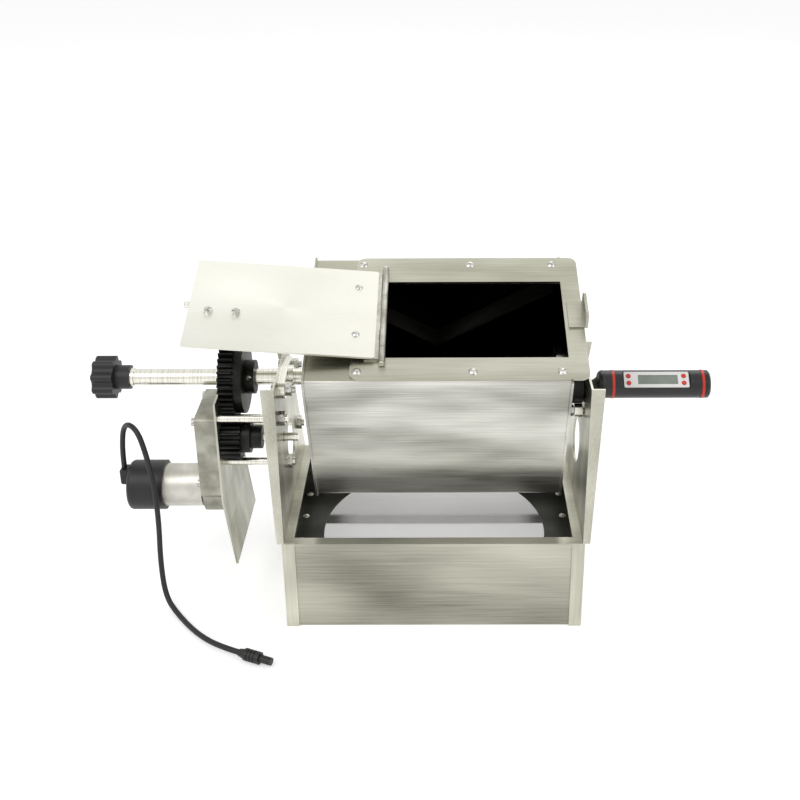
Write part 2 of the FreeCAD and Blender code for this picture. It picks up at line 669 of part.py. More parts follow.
def hub_flange():
    """Bright clamp ring of the hub, inside the drum."""
    ring = rod(HUB_FLANGE_R, DRUM_RIGHT - HUB_FLANGE_T, DRUM_RIGHT, 0, AXIS_Z)
    return cut(ring, rod(HUB_BORE_R, DRUM_RIGHT - 10, DRUM_RIGHT + 1, 0, AXIS_Z))


def latch_keeper():
    """Bent keeper on the frame: a flat foot and an upright tab with the bolt's hole."""
    low = drum_top(FRAME_T)
    foot = box((KEEPER_FOOT_X, KEEPER_LOOP_X[1]), (-KEEPER_HALF_ACROSS, KEEPER_HALF_ACROSS),
               (low, low + KEEPER_T))
    tab = box(KEEPER_LOOP_X, (-KEEPER_HALF_ACROSS, KEEPER_HALF_ACROSS), (low, low + KEEPER_HEIGHT))
    top = [e for e in tab.Edges if abs(e.CenterOfMass.z - low - KEEPER_HEIGHT) < 0.01
           and abs(e.Vertexes[0].X - e.Vertexes[-1].X) > 1]
    tab = tab.makeFillet(4.0, top)
    return cut(fuse(foot, tab), rod(BOLT_R + 0.4, KEEPER_LOOP_X[0] - 5, KEEPER_LOOP_X[1] + 5, 0, bolt_height()))


# Roller pair under the right hub

def roller_places():
    """Y and Z of the two roller axes, front first."""
    reach = HUB_R + ROLLER_R + ROLLER_GAP
    turn = math.radians(ROLLER_ANGLE)
    return [(side * reach * math.sin(turn), AXIS_Z - reach * math.cos(turn)) for side in (-1, 1)]


def roller(y, z):
    return cut(rod(ROLLER_R, *ROLLER_X, y, z), rod(ROLLER_BOLT_R + RUNNING_FIT, 0, 200, y, z))


def roller_bolts():
    """Bolts the rollers turn on: nut by the drum, head outside the right upright."""
    pieces = []
    for y, z in roller_places():
        wall = inner_x(z) + SHEET
        shank = rod(ROLLER_BOLT_R, ROLLER_X[0] - 4.6, wall + 0.4, y, z)
        nut = hexagon(7.0, ROLLER_X[0] - 3.8, ROLLER_X[0] - 0.3, y, z)
        head = rod(3.6, wall + 0.4, wall + 3.0, y, z)
        pieces.append(fuse(shank, nut, head))
    return Part.makeCompound(pieces)


# Hinge, lid and slide bolt, built closed

def hinge_height():
    return drum_top(FRAME_T + KNUCKLE_R + HINGE_LEAF_CLEAR)


def knuckle_span(index):
    low, high = sorted((KNUCKLE_ENDS[index], KNUCKLE_ENDS[index + 1]))
    return low + 0.1, high - 0.1


def barrel(radius, low, high):
    """A cylinder along the hinge pin."""
    return Part.makeCylinder(radius, high - low, V(HINGE_X, low, hinge_height()), V(0, 1, 0))


def hinge_half(leaf, indices, bore):
    """A leaf with its own knuckles, clear of the other half's knuckles."""
    spans = [knuckle_span(index) for index in indices]
    others = [knuckle_span(index) for index in range(len(KNUCKLE_ENDS) - 1) if index not in indices]
    notches = [barrel(KNUCKLE_R + 0.3, low - 0.2, high + 0.2) for low, high in others]
    knuckles = [barrel(KNUCKLE_R, low, high) for low, high in spans]
    pin = barrel(bore, KNUCKLE_ENDS[0] - 5, KNUCKLE_ENDS[-1] + 5)
    return cut(fuse(cut(leaf, *notches), *knuckles), pin)


def leaf_span():
    """Both leaves end short of the outer knuckles' ends."""
    return KNUCKLE_ENDS[0] + LEAF_END_INSET, KNUCKLE_ENDS[-1] - LEAF_END_INSET


def hinge_leaf_drum():
    low = drum_top(FRAME_T)
    leaf = box((HINGE_X - LEAF_REACH_DRUM, HINGE_X - 1.0), leaf_span(), (low, low + HINGE_LEAF_T))
    return hinge_half(leaf, (1, 3), HINGE_PIN_R)


def lid_leaf():
    low = lid_level() + LID_T
    leaf = box((HINGE_X + 1.0, HINGE_X + LEAF_REACH_LID), leaf_span(), (low, low + HINGE_LEAF_T))
    holes = [Part.makeCylinder(1.5, 20, V(x, y, low - 10)) for x, y in lid_screw_places()]
    return cut(hinge_half(leaf, (0, 2), HINGE_PIN_R + RUNNING_FIT), *holes)


def hinge_pin():
    pin = barrel(HINGE_PIN_R, KNUCKLE_ENDS[0] - 1.2, KNUCKLE_ENDS[-1] + 1.2)
    heads = [barrel(1.9, KNUCKLE_ENDS[0] - 1.2, KNUCKLE_ENDS[0] - 0.1),
             barrel(1.9, KNUCKLE_ENDS[-1] + 0.1, KNUCKLE_ENDS[-1] + 1.2)]
    return fuse(pin, *heads)


def lid_level():
    """Height of the closed lid's underside."""
    return drum_top(FRAME_T + LID_LIFT)


def lid_screw_places():
    return [(HINGE_X + LID_SCREW_X, side * LID_SCREW_ACROSS) for side in (-1, 1)]


def latch_screw_places():
    return [(HINGE_X + x, LATCH_SCREW_ACROSS) for x in LATCH_SCREW_X]


def lid_plate():
    low = lid_level()
    plate = rounded_plate((HINGE_X + LID_NEAR, HINGE_X + LID_FAR), LID_ACROSS, (low, low + LID_T), 1.5)
    holes = [Part.makeCylinder(1.5, 20, V(x, y, low - 10)) for x, y in lid_screw_places() + latch_screw_places()]
    return cut(plate, *holes)


def lid_fastener(x, y, top, nut_inside):
    """Dome screw through the lid: head on one side, hexagon nut and shank end on the other."""
    low = lid_level()
    reach = top - low + LID_NUT_T + 0.5
    nut = hexagon(5.5, 0, LID_NUT_T, 0, 0)
    nut.rotate(V(0, 0, 0), V(0, 1, 0), 90 if nut_inside else -90)
    nut.translate(V(x, y, low if nut_inside else top))
    screw = dome_screw(x, y, top, 2.8, 1.5, 1.45, reach)
    if not nut_inside:
        screw.rotate(V(x, y, top), V(1, 0, 0), 180)
        screw.translate(V(0, 0, low - top))
    return fuse(screw, nut)


def lid_screws():
    """Hinge screws, with their heads on the lid's inner side."""
    top = lid_level() + LID_T + HINGE_LEAF_T
    return Part.makeCompound([lid_fastener(x, y, top, False) for x, y in lid_screw_places()])


def latch_screws():
    """Slide bolt's screws, with their nuts on the lid's inner side."""
    top = lid_level() + LID_T + LATCH_PLATE_T
    return Part.makeCompound([lid_fastener(x, y, top, True) for x, y in latch_screw_places()])


def bolt_height():
    """Height of the slide bolt's axis over the closed lid."""
    return lid_level() + LID_T + LATCH_PLATE_T + BOLT_R + 0.3


def latch_base():
    """Slide bolt's base on the lid's outer side, with two straps that guide the bolt."""
    low = lid_level() + LID_T
    left, right = (HINGE_X + x for x in LATCH_X)
    plate = rounded_plate((left, right), LATCH_ACROSS, (low, low + LATCH_PLATE_T), 2.0)
    straps = []
    for x0 in (left + 1.0, right - 9.0):
        strap = box((x0, x0 + 7.0), (-BOLT_R - 1.4, BOLT_R + 1.4), (low, bolt_height() + BOLT_R + 1.4))
        top = [e for e in strap.Edges if abs(e.CenterOfMass.z - bolt_height() - BOLT_R - 1.4) < 0.01
               and abs(e.Vertexes[0].X - e.Vertexes[-1].X) > 1]
        straps.append(strap.makeFillet(BOLT_R, top))
    holes = [Part.makeCylinder(1.5, 20, V(x, y, low - 10)) for x, y in latch_screw_places()]
    bore = rod(BOLT_R + RUNNING_FIT, left - 5, right + 5, 0, bolt_height())
    return cut(fuse(plate, *straps), bore, *holes)


def latch_bolt():
    """Round bolt with its knob, drawn back to just past the lid's edge."""
    tip = HINGE_X + LID_FAR + BOLT_TIP_PAST_LID
    bolt = rod(BOLT_R, tip - BOLT_LENGTH_BEHIND, tip, 0, bolt_height())
    rim = [e for e in bolt.Edges if abs(e.CenterOfMass.x - tip) < 0.01 and len(e.Vertexes) == 1]
    x = HINGE_X + BOLT_KNOB_X
    stem = Part.makeCylinder(1.5, BOLT_KNOB_HEIGHT, V(x, 0, bolt_height()))
    ball = Part.makeSphere(2.6, V(x, 0, bolt_height() + BOLT_KNOB_HEIGHT))
    return fuse(bolt.makeChamfer(0.6, rim), stem, ball)


# Sampler

def sampler_knob():
    """Lobed knob and its plain hub."""
    arcs = []
    step = 2 * math.pi / KNOB_LOBES

    def at(turn):
        radius = KNOB_R + KNOB_LOBE * math.cos(KNOB_LOBES * turn)
        return V(KNOB_X[0], radius * math.cos(turn), AXIS_Z + radius * math.sin(turn))

    for lobe in range(KNOB_LOBES):
        middle = lobe * step
        arcs.append(Part.Arc(at(middle - step / 4), at(middle), at(middle + step / 4)).toShape())
        arcs.append(Part.Arc(at(middle + step / 4), at(middle + step / 2), at(middle + 3 * step / 4)).toShape())
    knob = Part.Face(Part.Wire(arcs)).extrude(V(KNOB_X[1] - KNOB_X[0], 0, 0))
    cap_edges = [e for e in knob.Edges if abs(e.BoundBox.XMin - KNOB_X[0]) < 0.01 and e.BoundBox.XLength < 0.01]
    knob = knob.makeChamfer(1.0, cap_edges)
    hub = rod(SAMPLER_HUB_R, KNOB_X[1], SAMPLER_HUB_RIGHT, 0, AXIS_Z)
    return cut(fuse(knob, hub), rod(SHAFT_BORE_R - RUNNING_FIT, KNOB_X[1] - 4, 0, 0, AXIS_Z))


def sampler_ferrule():
    """Polished ring between the sampler's hub and the end of the hollow shaft."""
    ring = rod(FERRULE_R, SAMPLER_HUB_RIGHT + 0.1, SHAFT_X[0] - 0.1, 0, AXIS_Z)
    return cut(ring, rod(SHAFT_BORE_R, -300, 0, 0, AXIS_Z))


def sampler_scoop():
    """Rod that fills the hollow shaft and ends in an open trough inside the drum."""
    radius = SHAFT_BORE_R - RUNNING_FIT
    stem = rod(radius, KNOB_X[1] - 4, SCOOP_RIGHT, 0, AXIS_Z)
    trough = (DRUM_LEFT + 4, SCOOP_RIGHT - 3)
    hollow = rod(radius - 1.0, *trough, 0, AXIS_Z)
    above = box(trough, (-radius, radius), (AXIS_Z + 0.5, AXIS_Z + 2 * radius))
    return cut(stem, hollow, above)


# Thermometer, built with its face up and turned about its own axis

def handle_axis():
    return V(0, 0, PROBE_Z)


def turned(shape):
    shape.rotate(handle_axis(), V(1, 0, 0), FACE_TURN)
    return shape


def face_level():
    """Distance of the panel's seat from the handle's axis."""
    return math.sqrt(HANDLE_R ** 2 - PANEL_HALF ** 2)


def thermometer_handle():
    """Turned handle: thin neck, S-shaped shoulder, barrel with a flat for the panel."""
    neck, shoulder, end = HANDLE_X
    middle = V((neck + shoulder) / 2 + 1, 0, (HANDLE_NECK_R + HANDLE_R) / 2)
    line = Part.LineSegment
    first = Part.Arc(V(neck + 1.5, 0, HANDLE_NECK_R), V(neck + 4.8, 0, HANDLE_NECK_R + 1.1), middle)
    second = Part.Arc(middle, V(shoulder - 3.6, 0, HANDLE_R - 0.9), V(shoulder, 0, HANDLE_R))
    bevel = 1.2
    edges = [line(V(neck, 0, 0), V(neck, 0, HANDLE_NECK_R)),
             line(V(neck, 0, HANDLE_NECK_R), V(neck + 1.5, 0, HANDLE_NECK_R)), first, second,
             line(V(shoulder, 0, HANDLE_R), V(end - bevel, 0, HANDLE_R)),
             line(V(end - bevel, 0, HANDLE_R), V(end, 0, HANDLE_R - bevel)),
             line(V(end, 0, HANDLE_R - bevel), V(end, 0, 0)), line(V(end, 0, 0), V(neck, 0, 0))]
    profile = Part.Face(Part.Wire([edge.toShape() for edge in edges]))
    handle = profile.revolve(V(0, 0, 0), V(1, 0, 0), 360)
    handle.translate(handle_axis())
    low = PROBE_Z + face_level()
    flat = box((PANEL_X[0] - 1, PANEL_X[1] + 1), (-HANDLE_R, HANDLE_R), (low, PROBE_Z + 2 * HANDLE_R))
    grooves = [cut(rod(HANDLE_R + 1, x, x + RING_T, 0, PROBE_Z), rod(HANDLE_R - 0.4, x, x + RING_T, 0, PROBE_Z))
               for x in RING_X]
    return turned(cut(handle, flat, *grooves, rod(PROBE_R, neck - 1, neck + 12, 0, PROBE_Z)))


def thermometer_rings():
    return Part.makeCompound([cut(rod(HANDLE_R + 0.3, x, x + RING_T, 0, PROBE_Z),
                                  rod(HANDLE_R - 0.4, x - 1, x + 3, 0, PROBE_Z)) for x in RING_X])


def button_places():
    return [(x, side * BUTTON_ACROSS) for x in BUTTON_X for side in (-1, 1)]


def thermometer_panel():
    low = PROBE_Z + face_level()
    panel = rounded_plate(PANEL_X, (-PANEL_HALF + 0.2, PANEL_HALF - 0.2), (low, low + PANEL_T), 1.0)
    window = box(DISPLAY_X, (-DISPLAY_HALF, DISPLAY_HALF), (low - 1, low + 2))
    holes = [Part.makeCylinder(BUTTON_R + BUTTON_GAP, 4, V(x, y, low - 1)) for x, y in button_places()]
    return turned(cut(panel, window, *holes))


def thermometer_display():
    low = PROBE_Z + face_level()
    return turned(box(DISPLAY_X, (-DISPLAY_HALF, DISPLAY_HALF), (low, low + PANEL_T - 0.3)))


def button(x, y):
    low = PROBE_Z + face_level() + 0.55
    cap = Part.makeCylinder(BUTTON_R, 1.0, V(x, y, low))
    rim = [e for e in cap.Edges if abs(e.CenterOfMass.z - low - 1.0) < 0.01 and len(e.Vertexes) == 1]
    return turned(cap.makeFillet(0.35, rim))


def thermometer_probe():
    stem = rod(PROBE_R, PROBE_LEFT + 4, HANDLE_X[0] + 12, 0, PROBE_Z)
    tip = Part.makeCone(0.5, PROBE_R, 4, V(PROBE_LEFT, 0, PROBE_Z), V(1, 0, 0))
    return fuse(stem, tip)


def probe_guide():
    """Guide bush for the probe in the right upright, with an outer flange."""
    wall = inner_x(PROBE_Z)
    barrel_x = (wall - 0.9, HANDLE_X[0] - 0.1)
    flange = rod(6.0, wall, barrel_x[1], 0, PROBE_Z)
    web = plate_xz([(inner_x(RIM_Z) - 1, RIM_Z), (inner_x(RIM_Z) + SHEET, RIM_Z),
                    (inner_x(UPRIGHT_TOP_Z) + SHEET, UPRIGHT_TOP_Z), (inner_x(RIM_Z) - 1, UPRIGHT_TOP_Z)],
                   BASE_HALF_Y)
    return cut(fuse(cut(flange, web), rod(PROBE_R + 2, *barrel_x, 0, PROBE_Z)),
               rod(PROBE_R + RUNNING_FIT, 0, 200, 0, PROBE_Z))


# Lead and its connector

def cord_path():
    """Straight runs joined by tangent arcs as large as the runs beside them allow."""
    points = [V(*place) for place in CORD_ROUTE]
    edges = []
    start = points[0]
    for before, here, after in zip(points, points[1:], points[2:]):
        back = (before - here).normalize()
        ahead = (after - here).normalize()
        half_turn = (math.pi - back.getAngle(ahead)) / 2
        trim = CORD_SHARE * min((before - here).Length, (after - here).Length)
        radius = trim / math.tan(half_turn)
        print("cord bend", [round(value, 1) for value in here], "radius", round(radius, 1))
        into = here + back * trim
        out = here + ahead * trim
        inward = (back + ahead).normalize()
        middle = here + inward * (radius / math.cos(half_turn) - radius)
        edges.append(Part.LineSegment(start, into).toShape())
        edges.append(Part.Arc(into, middle, out).toShape())
        start = out
    edges.append(Part.LineSegment(start, points[-1]).toShape())
    return Part.Wire(edges)


def cord():
    path = cord_path()
    first, second = V(*CORD_ROUTE[0]), V(*CORD_ROUTE[1])
    ring = Part.Wire(Part.Circle(first, second - first, CORD_R).toShape())
    tube = path.makePipeShell([ring], True, False)
    print("cord length", round(path.Length, 1),
          "volume ratio", round(tube.Volume / (path.Length * math.pi * CORD_R ** 2), 5))
    return tube


def connector():
    """Inline connector at the lead's end: strain neck, ribbed grip and barrel."""
    before, end = V(*CORD_ROUTE[-2]), V(*CORD_ROUTE[-1])
    along = (end - before).normalize()
    grip = Part.makeCylinder(CONNECTOR_R, CONNECTOR_LENGTH - 14, end + along * 5, along)
    neck = Part.makeCone(CORD_R + 0.6, CONNECTOR_R - 0.6, 5, end, along)
    nose = Part.makeCylinder(CONNECTOR_R - 1.6, 9, end + along * (CONNECTOR_LENGTH - 9), along)
    grooves = []
    for step in range(3):
        at = end + along * (7.5 + 2.6 * step)
        ring = Part.makeCylinder(CONNECTOR_R + 1, 1.2, at, along)
        grooves.append(ring.cut(Part.makeCylinder(CONNECTOR_R - 0.5, 1.2, at, along)))
    return cut(fuse(neck, grip, nose), *grooves)


def stand_pieces():
    front = front_panel()
    back = front.copy()
    back.rotate(V(0, 0, 0), V(0, 0, 1), 180)
    return {
        "upright_left": left_upright(), "upright_right": right_upright(),
        "front_panel": front, "back_panel": back, "base_rim": base_rim(),
        "burner_plate": burner_plate(), "plate_ledges": plate_ledges(), "plate_screws": plate_screws(),
        "shaft_bearing": shaft_bearing(), "bearing_bolts": bearing_bolts(),
        "motor_plate": motor_plate(), "standoff_rods": standoff_rods(), "standoff_nuts": standoff_nuts(),
        "gearbox": gearbox(), "gearbox_screws": gearbox_screws(),
        "motor_can": motor_can(), "motor_cap": motor_cap(), "cord_grommet": cord_grommet(),
        "roller_bolts": roller_bolts(), "probe_guide": probe_guide(),
        "cord": cord(), "dc_connector": connector(),
        "driver_gear": driver_gear(), "driver_shaft": driver_shaft(),
        "roller_front": roller(*roller_places()[0]), "roller_back": roller(*roller_places()[1]),
    }


def thermometer_pieces():
    pieces = {
        "thermometer_probe": thermometer_probe(), "thermometer_handle": thermometer_handle(),
        "thermometer_rings": thermometer_rings(), "thermometer_panel": thermometer_panel(),
        "thermometer_display": thermometer_display(),
    }
    for number, place in enumerate(button_places(), start=1):
        pieces[f"button_{number}"] = button(*place)
    return pieces


def drum_pieces():
    return {
        "drum_wrap": drum_wrap(),
        "drum_end_left": drum_end(DRUM_LEFT - END_T, SHAFT_R), "drum_end_right": drum_end(DRUM_RIGHT, HUB_BORE_R),
        "mouth_frame": mouth_frame(), "frame_screws": frame_screws(), "back_screws": back_screws(),
        "vanes_front": vane_pair(-1), "vanes_back": vane_pair(1),
        "drum_shaft": drum_shaft(), "driven_gear": driven_gear(),
        "drum_hub": drum_hub(), "hub_flange": hub_flange(), "latch_keeper": latch_keeper(),
        "hinge_leaf_drum": hinge_leaf_drum(), "hinge_pin": hinge_pin(),
        "sampler_knob": sampler_knob(), "sampler_ferrule": sampler_ferrule(), "sampler_scoop": sampler_scoop(),
    }


def lid_pieces():
    return {
        "lid_plate": lid_plate(), "lid_leaf": lid_leaf(), "lid_screws": lid_screws(),
        "latch_base": latch_base(), "latch_screws": latch_screws(), "latch_bolt": latch_bolt(),
    }


def main():
    os.makedirs("parts", exist_ok=True)
    pieces = {**stand_pieces(), **thermometer_pieces()}
    round_pieces = ("driven_gear",)
    for name, shape in drum_pieces().items():
        if name not in round_pieces:
            shape.rotate(V(0, 0, AXIS_Z), V(1, 0, 0), DRUM_TILT)
        pieces[name] = shape
    for name, shape in lid_pieces().items():
        shape.rotate(V(HINGE_X, 0, hinge_height()), V(0, 1, 0), -LID_OPEN)
        shape.rotate(V(0, 0, AXIS_Z), V(1, 0, 0), DRUM_TILT)
        pieces[name] = shape
    for name, shape in pieces.items():
        shape.exportStep(f"parts/{name}.step")
    print(len(pieces), "pieces")


main()
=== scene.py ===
"""Home coffee bean roaster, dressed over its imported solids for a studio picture."""
import bmesh
import bpy
import math
from mathutils import Matrix, Vector


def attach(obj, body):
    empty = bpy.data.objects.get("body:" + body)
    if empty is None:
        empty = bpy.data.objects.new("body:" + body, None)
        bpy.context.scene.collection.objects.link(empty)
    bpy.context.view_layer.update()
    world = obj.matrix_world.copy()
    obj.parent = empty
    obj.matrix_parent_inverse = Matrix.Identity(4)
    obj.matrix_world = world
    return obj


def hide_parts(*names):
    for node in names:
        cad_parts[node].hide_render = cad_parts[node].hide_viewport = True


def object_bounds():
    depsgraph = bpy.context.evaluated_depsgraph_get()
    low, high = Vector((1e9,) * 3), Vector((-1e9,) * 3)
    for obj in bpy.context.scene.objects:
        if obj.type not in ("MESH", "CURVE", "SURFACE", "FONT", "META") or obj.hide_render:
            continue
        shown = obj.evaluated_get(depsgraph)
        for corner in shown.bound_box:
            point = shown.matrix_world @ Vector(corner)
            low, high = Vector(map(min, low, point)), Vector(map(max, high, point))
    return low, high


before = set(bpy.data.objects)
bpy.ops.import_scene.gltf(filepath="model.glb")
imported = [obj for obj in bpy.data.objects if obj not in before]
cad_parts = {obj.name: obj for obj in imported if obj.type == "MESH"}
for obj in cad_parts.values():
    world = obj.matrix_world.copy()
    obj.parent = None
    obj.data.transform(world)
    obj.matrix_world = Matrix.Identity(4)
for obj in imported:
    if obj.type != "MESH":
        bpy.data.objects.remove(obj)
cad_low, cad_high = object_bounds()

# Drum, in metres: its shaft's height and turn at rest, then the level drum's own sizes
DRUM_AXIS_Z = 0.133
DRUM_TILT = math.radians(20.7)
DRUM_MIDDLE_X = 0.00355
DRUM_INSIDE = 0.0600
DRUM_INSIDE_END = 0.0879
DRUM_TOP = 0.0605

CAMERA_PLACE = (0.0070, -0.7299, 0.5063)
CAMERA_PITCH = math.radians(66.9)
CAMERA_YAW = math.radians(0.3)

LEAD_RADIUS = 0.002

FLOOR_GLOW = 0.42
WORLD_LIGHT = 0.55
STUDIO_LAMPS = (
    ("key_lamp", (-0.9, -1.0, 1.5), 0.9, 9.0),
    ("fill_lamp", (1.2, -0.8, 1.0), 0.9, 4.0),
    ("back_lamp", (0.2, 1.3, 1.4), 1.0, 5.0),
)


# Camera and lead

def place_camera():
    """The photograph's viewing angle: about 23 degrees down on the front."""
    lens = bpy.data.cameras.new("studio_camera")
    lens.sensor_width = 36
    lens.lens = 50.4
    lens.shift_x = -0.04625
    lens.shift_y = -0.1275
    lens.clip_start = 0.05
    camera = bpy.data.objects.new("studio_camera", lens)
    turn = Matrix.Rotation(CAMERA_YAW, 4, "Z") @ Matrix.Rotation(CAMERA_PITCH, 4, "X")
    camera.matrix_world = (Matrix.Translation(CAMERA_PLACE) @ turn
                           @ Matrix.Rotation(-CAMERA_YAW, 4, "Z"))
    bpy.context.scene.collection.objects.link(camera)
    bpy.context.scene.camera = camera


LEAD_ROUTE = (
    (-0.2318, -0.0080, 0.0611), (-0.2316, -0.0084, 0.0790), (-0.2270, -0.0105, 0.1010),
    (-0.2135, -0.0255, 0.1040), (-0.2070, -0.0310, 0.0840), (-0.2040, -0.0318, 0.0580),
    (-0.2036, -0.0326, 0.0280), (-0.2050, -0.0355, -0.0040), (-0.2020, -0.0430, -0.0300),
    (-0.1900, -0.0580, -0.0350), (-0.1720, -0.0790, -0.0350), (-0.1530, -0.0955, -0.0326),
    (-0.1370, -0.1020, -0.0326),
)


def lay_lead(jacket):
    """The motor's lead: up out of the cap, over in a loop, down, and along the table."""
    curve = bpy.data.curves.new("lead", "CURVE")
    curve.dimensions = "3D"
    curve.bevel_depth = LEAD_RADIUS
    curve.bevel_resolution = 5
    curve.resolution_u = 10
    curve.use_fill_caps = True
    spline = curve.splines.new("NURBS")
    spline.points.add(len(LEAD_ROUTE) - 1)
    for point, place in zip(spline.points, LEAD_ROUTE):
        point.co = (*place, 1)
    spline.order_u = 3
    spline.use_endpoint_u = True
    curve.materials.append(jacket)
    lead = bpy.data.objects.new("lead", curve)
    bpy.context.scene.collection.objects.link(lead)
    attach(lead, "stand")
    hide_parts("cord")


# Finishes

def shade(hex_colour):
    """A written sRGB colour as linear RGBA."""
    parts = [int(hex_colour[k:k + 2], 16) / 255 for k in (1, 3, 5)]
    return (*[c / 12.92 if c <= 0.04045 else ((c + 0.055) / 1.055) ** 2.4 for c in parts], 1)


def add(tree, kind, settings=None, links=None):
    """One node with its attributes or socket values, and its incoming links."""
    node = tree.nodes.new(kind)
    for name, value in (settings or {}).items():
        if name in node.inputs:
            node.inputs[name].default_value = value
        else:
            setattr(node, name, value)
    for name, source in (links or {}).items():
        tree.links.new(source, node.inputs[name])
    return node


def new_finish(name, **sockets):
    """A material with its one surface shader, ready for patterns."""
    material = bpy.data.materials.new(name)
    material.use_nodes = True
    tree = material.node_tree
    surface = tree.nodes["Principled BSDF"]
    for socket, value in sockets.items():
        surface.inputs[socket.replace("_", " ")].default_value = value
    return material, tree, surface


def ramp(tree, source, low, high, start=0.3, stop=0.7):
    """Two colours spread over part of a pattern's range."""
    node = add(tree, "ShaderNodeValToRGB", links={"Fac": source})
    node.color_ramp.elements[0].position = start
    node.color_ramp.elements[0].color = low
    node.color_ramp.elements[1].position = stop
    node.color_ramp.elements[1].color = high
    return node.outputs["Color"]


def span(tree, source, low, high):
    """A pattern's 0 to 1 turned into another range."""
    node = add(tree, "ShaderNodeMapRange", {"To Min": low, "To Max": high}, {"Value": source})
    return node.outputs["Result"]


def brushed_stainless(name, light, dark, along, rough=(0.26, 0.42), reflection_patch_mm=55, depth=0.00002):
    """Stainless sheet with a belt-brushed grain: fine parallel streaks, and soft cloudy reflections
    painted into the colour between the dark and light tones.

    Real grain is about 0.1 mm apart; it is drawn at 0.7 mm so that it shows at this size.
    """
    material, tree, surface = new_finish(name, Metallic=1.0, Anisotropic=0.35)
    place = add(tree, "ShaderNodeTexCoord").outputs["Object"]
    fine = 1000 / 0.7
    scale = [fine, fine, fine]
    scale["XYZ".index(along)] = 1000 / 45
    grain = add(tree, "ShaderNodeTexNoise", {"Scale": 1.0, "Detail": 3.0, "Roughness": 0.6},
                {"Vector": add(tree, "ShaderNodeMapping", {"Scale": scale},
                               {"Vector": place}).outputs["Vector"]})
    # Broad soft patches: painted reflections, lighter and darker cloud shapes in the base colour.
    wide = [1000 / reflection_patch_mm * 1.8] * 3
    wide["XYZ".index(along)] = 1000 / reflection_patch_mm / 1.6
    painted_reflections = add(tree, "ShaderNodeTexNoise", {"Scale": 1.0, "Detail": 2.0, "Roughness": 0.5},
                 {"Vector": add(tree, "ShaderNodeMapping", {"Scale": wide},
                                {"Vector": place}).outputs["Vector"]})
    mix = add(tree, "ShaderNodeMath", {"operation": "MULTIPLY_ADD", "use_clamp": True})
    tree.links.new(grain.outputs["Fac"], mix.inputs[0])
    mix.inputs[1].default_value = 0.45
    tree.links.new(span(tree, painted_reflections.outputs["Fac"], -0.45, 1.0), mix.inputs[2])
    tree.links.new(ramp(tree, mix.outputs["Value"], shade(dark), shade(light), 0.15, 0.75),
                   surface.inputs["Base Color"])
    tree.links.new(span(tree, grain.outputs["Fac"], *rough), surface.inputs["Roughness"])
    bump = add(tree, "ShaderNodeBump", {"Strength": 0.25, "Distance": depth},
               {"Height": grain.outputs["Fac"]})
    tree.links.new(bump.outputs["Normal"], surface.inputs["Normal"])
    return material


def turned_steel(name, light="#e9e7dc", dark="#c4c2b5"):
    """Bright turned bar: near mirror, with hair-fine rings that are drawn 0.8 mm apart."""
    material, tree, surface = new_finish(name, Metallic=1.0)
    place = add(tree, "ShaderNodeTexCoord").outputs["Object"]
    rings = add(tree, "ShaderNodeTexNoise", {"Scale": 1.0, "Detail": 1.0},
                {"Vector": add(tree, "ShaderNodeMapping", {"Scale": (1250, 12, 12)},
                               {"Vector": place}).outputs["Vector"]})
    tree.links.new(ramp(tree, rings.outputs["Fac"], shade(dark), shade(light), 0.1, 0.6),
                   surface.inputs["Base Color"])
    tree.links.new(span(tree, rings.outputs["Fac"], 0.14, 0.22), surface.inputs["Roughness"])
    return material


